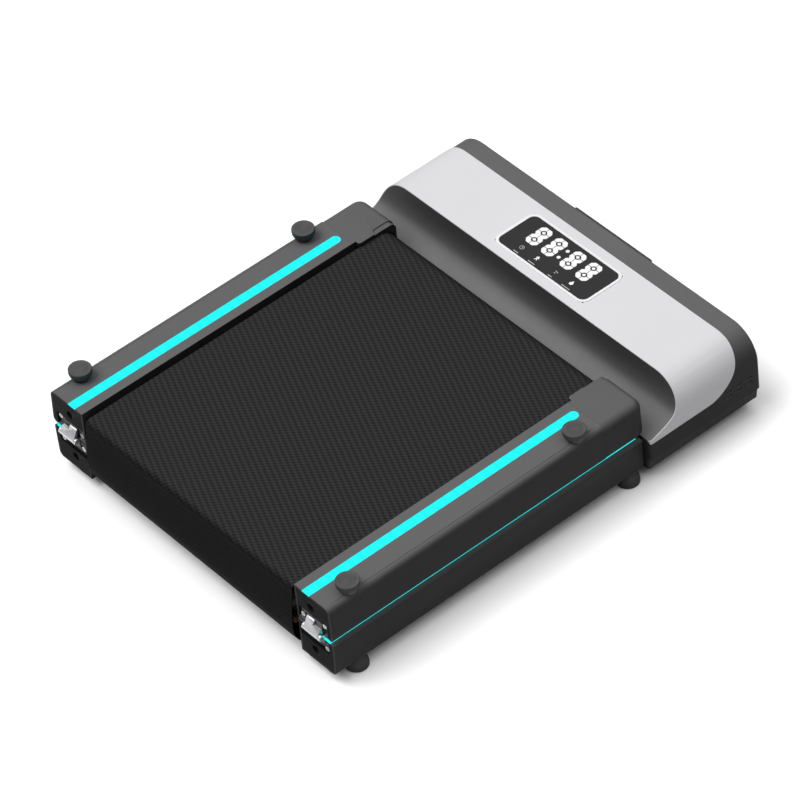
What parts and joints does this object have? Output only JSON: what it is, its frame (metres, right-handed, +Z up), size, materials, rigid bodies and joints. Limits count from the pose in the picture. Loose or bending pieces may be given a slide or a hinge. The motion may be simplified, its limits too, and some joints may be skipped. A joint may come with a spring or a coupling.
{
  "type": "folding walking treadmill",
  "caption": "Low folding treadmill with two hinged belt decks, grey side rails with light strips, round rubber feet and a silver-skinned motor hood with a display window.",
  "frame": {"origin": "floor under the centre of the folded machine", "axes": "+Z up, +Y from the fold end to the motor hood, +X to the right seen from the fold end"},
  "size_m": [0.5614, 0.6975, 0.1449],
  "materials": {
    "rail_grey": "satin graphite powder coat on extruded aluminium",
    "rail_plug_black": "moulded, fine grain",
    "end_cap_grey": "moulded, fine spark-eroded grain, matched to the rails",
    "light_strip": "translucent cyan diffuser, lit from behind",
    "hinge_steel": "bright plated casting",
    "fastener_steel": "zinc plated",
    "foot_rubber": "moulded rubber",
    "deck_board": "waxed fibreboard with a dark phenolic face",
    "frame_paint": "black powder coat",
    "running_belt": "black belt with a fine diamond-grain top",
    "roller_steel": "ground and zinc plated",
    "bearing_steel": "ground ring, dark seal",
    "pulley_black": "glass-filled nylon",
    "drive_belt_rubber": "ribbed drive belt",
    "motor_paint": "gloss black enamel",
    "flywheel_iron": "machined face",
    "circuit_board": "green solder mask",
    "heatsink_aluminium": "extruded, plain",
    "pan_black": "moulded, coarse grain",
    "housing_grey": "moulded, fine grain",
    "scoop_grey": "moulded, satin",
    "silver_skin": "pale silver paint, satin",
    "display_rim": "pale silver rim",
    "display_glass": "smoked window",
    "panel_black": "moulded, fine grain",
    "rocker_black": "polished",
    "reset_red": "polished red",
    "wheel_plastic": "moulded nylon"
  },
  "bodies": {
    "lower_half": {"rail_lower_left": "rail_grey", "rail_lower_right": "rail_grey", "rail_plugs_lower": "rail_plug_black", "light_strips_lower": "light_strip", "hinge_leaves_lower": "hinge_steel", "hinge_pins": "fastener_steel", "fasteners_lower": "fastener_steel", "feet_lower": "foot_rubber", "fold_bumpers": "foot_rubber", "deck_lower": "deck_board", "cross_members_lower": "frame_paint", "deck_cushions_lower": "foot_rubber", "belt_lower": "running_belt", "belt_fold": "running_belt", "front_axle": "roller_steel", "front_axle_brackets": "frame_paint", "motor_body": "motor_paint", "motor_cradle": "frame_paint", "drive_belt": "drive_belt_rubber", "control_board": "circuit_board", "board_heatsink": "heatsink_aluminium", "belly_pan": "pan_black", "wheel_axles": "fastener_steel", "base_housing": "housing_grey", "scoop_panel": "scoop_grey", "silver_cover": "silver_skin", "display_bezel": "display_rim", "display_lens": "display_glass", "display_board": "circuit_board", "rear_panel": "panel_black", "power_inlet": "panel_black", "switch_body": "panel_black", "breaker_body": "panel_black"},
    "upper_half": {"rail_upper_left": "rail_grey", "rail_upper_right": "rail_grey", "rail_plugs_upper": "rail_plug_black", "light_strips_upper": "light_strip", "hinge_leaves_upper": "hinge_steel", "fasteners_upper": "fastener_steel", "feet_upper": "foot_rubber", "deck_upper": "deck_board", "cross_members_upper": "frame_paint", "deck_cushions_upper": "foot_rubber", "belt_upper": "running_belt", "end_caps": "end_cap_grey", "rear_axle": "roller_steel", "tension_blocks": "frame_paint"},
    "drive_roller": {"front_roller_tube": "roller_steel", "front_roller_bearings": "bearing_steel", "drive_pulley": "pulley_black"},
    "motor_rotor": {"motor_shaft": "roller_steel", "flywheel": "flywheel_iron", "motor_pulley": "pulley_black"},
    "rear_roller": {"rear_roller_tube": "roller_steel", "rear_roller_bearings": "bearing_steel"},
    "wheel_left": {"transport_wheel_left": "wheel_plastic"},
    "wheel_right": {"transport_wheel_right": "wheel_plastic"},
    "power_switch": {"power_rocker": "rocker_black"},
    "breaker_reset": {"reset_button": "reset_red"}
  },
  "joints": [
    {"name": "fold", "type": "hinge", "parent": "lower_half", "child": "upper_half", "pos_m": [0, -0.343, 0.07245], "axis": [1, 0, 0], "range_deg": [0, 180], "deforming": ["belt_fold"]},
    {"name": "drive_roller_spin", "type": "hinge", "parent": "lower_half", "child": "drive_roller", "pos_m": [0, 0.192, 0.0449], "axis": [1, 0, 0], "continuous": true},
    {"name": "motor_spin", "type": "hinge", "parent": "lower_half", "child": "motor_rotor", "pos_m": [0, 0.264, 0.0626], "axis": [1, 0, 0], "continuous": true},
    {"name": "rear_roller_spin", "type": "hinge", "parent": "upper_half", "child": "rear_roller", "pos_m": [0, 0.137, 0.1], "axis": [1, 0, 0], "continuous": true},
    {"name": "wheel_left_spin", "type": "hinge", "parent": "lower_half", "child": "wheel_left", "pos_m": [-0.2, 0.315, 0.021], "axis": [1, 0, 0], "continuous": true},
    {"name": "wheel_right_spin", "type": "hinge", "parent": "lower_half", "child": "wheel_right", "pos_m": [0.2, 0.315, 0.021], "axis": [1, 0, 0], "continuous": true},
    {"name": "power_rock", "type": "hinge", "parent": "lower_half", "child": "power_switch", "pos_m": [0.012, 0.342, 0.092], "axis": [1, 0, 0], "range_deg": [0, 22]},
    {"name": "reset_press", "type": "slide", "parent": "lower_half", "child": "breaker_reset", "axis": [0, -1, 0], "range_m": [0, 0.0025], "stiffness_N_per_m": 400}
  ],
  "couplings": [
    {"joint": "motor_spin", "follows": "drive_roller_spin", "ratio": 2.5},
    {"joint": "rear_roller_spin", "follows": "drive_roller_spin", "ratio": 1}
  ]
}
